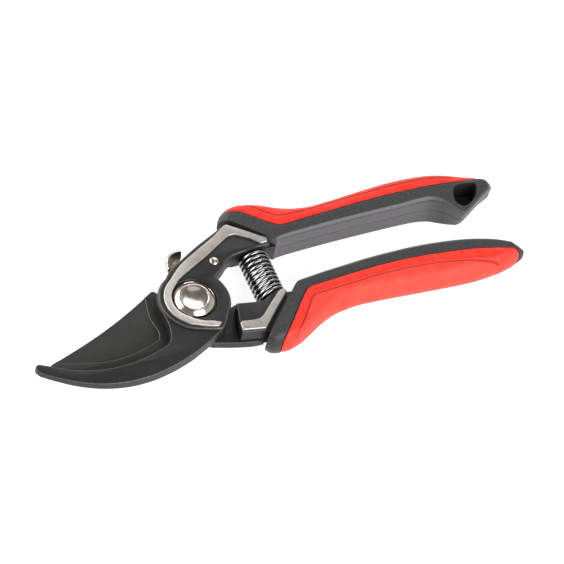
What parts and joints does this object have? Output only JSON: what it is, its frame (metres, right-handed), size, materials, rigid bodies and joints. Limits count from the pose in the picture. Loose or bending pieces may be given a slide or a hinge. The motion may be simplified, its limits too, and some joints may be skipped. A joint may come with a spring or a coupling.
{
  "type": "bypass pruning shears",
  "caption": "Bypass pruning shears with a hooked counter blade, a coil spring between the arms, a thumb latch and two soft-grip handles, shown closed and latched.",
  "frame": {"origin": "on the pivot axis, in the flat end face of the pivot bolt's head at the back of the shears", "axes": "+X from the pivot towards the handle ends, with the blades pointing to -X; +Y towards the hook half's handle; +Z out of the front, where the cap nut is"},
  "size_m": [0.2156, 0.0693, 0.0154],
  "materials": {
    "coated_steel": "satin black coating with brushed bare rims",
    "blade_steel": "satin non-stick coating",
    "plain_steel": "fine turned",
    "nickel": "polished",
    "spring_steel": "polished",
    "bronze": "plain",
    "black_plastic": "moulded",
    "grey_plastic": "fine textured",
    "red_grip": "soft satin"
  },
  "bodies": {
    "hook_half": {"hook_forging": "coated_steel", "pivot_bolt": "plain_steel", "pivot_cap_nut": "nickel", "cap_spring_washer": "spring_steel", "pivot_bushing": "bronze", "friction_washer": "bronze", "back_washer": "plain_steel", "upper_handle_core": "grey_plastic", "upper_grip": "red_grip", "upper_spring_seat": "black_plastic", "coil_spring": "spring_steel", "latch_rivet": "nickel", "latch_wave_washer": "spring_steel"},
    "blade_half": {"lower_forging": "coated_steel", "cutting_blade": "blade_steel", "blade_rivet_1": "plain_steel", "blade_rivet_2": "plain_steel", "lower_spring_seat": "black_plastic", "lower_handle_core": "grey_plastic", "lower_grip": "red_grip"},
    "latch": {"latch_lever": "nickel"}
  },
  "joints": [
    {"name": "handles_open", "type": "hinge", "parent": "hook_half", "child": "blade_half", "pos_m": [0, 0, 0], "axis": [0, 0, -1], "range_deg": [0, 32], "deforming": ["coil_spring"]},
    {"name": "latch_turn", "type": "hinge", "parent": "hook_half", "child": "latch", "pos_m": [0.0148, 0.0149, 0.0063], "axis": [0, 0, -1], "range_deg": [0, 20]}
  ]
}
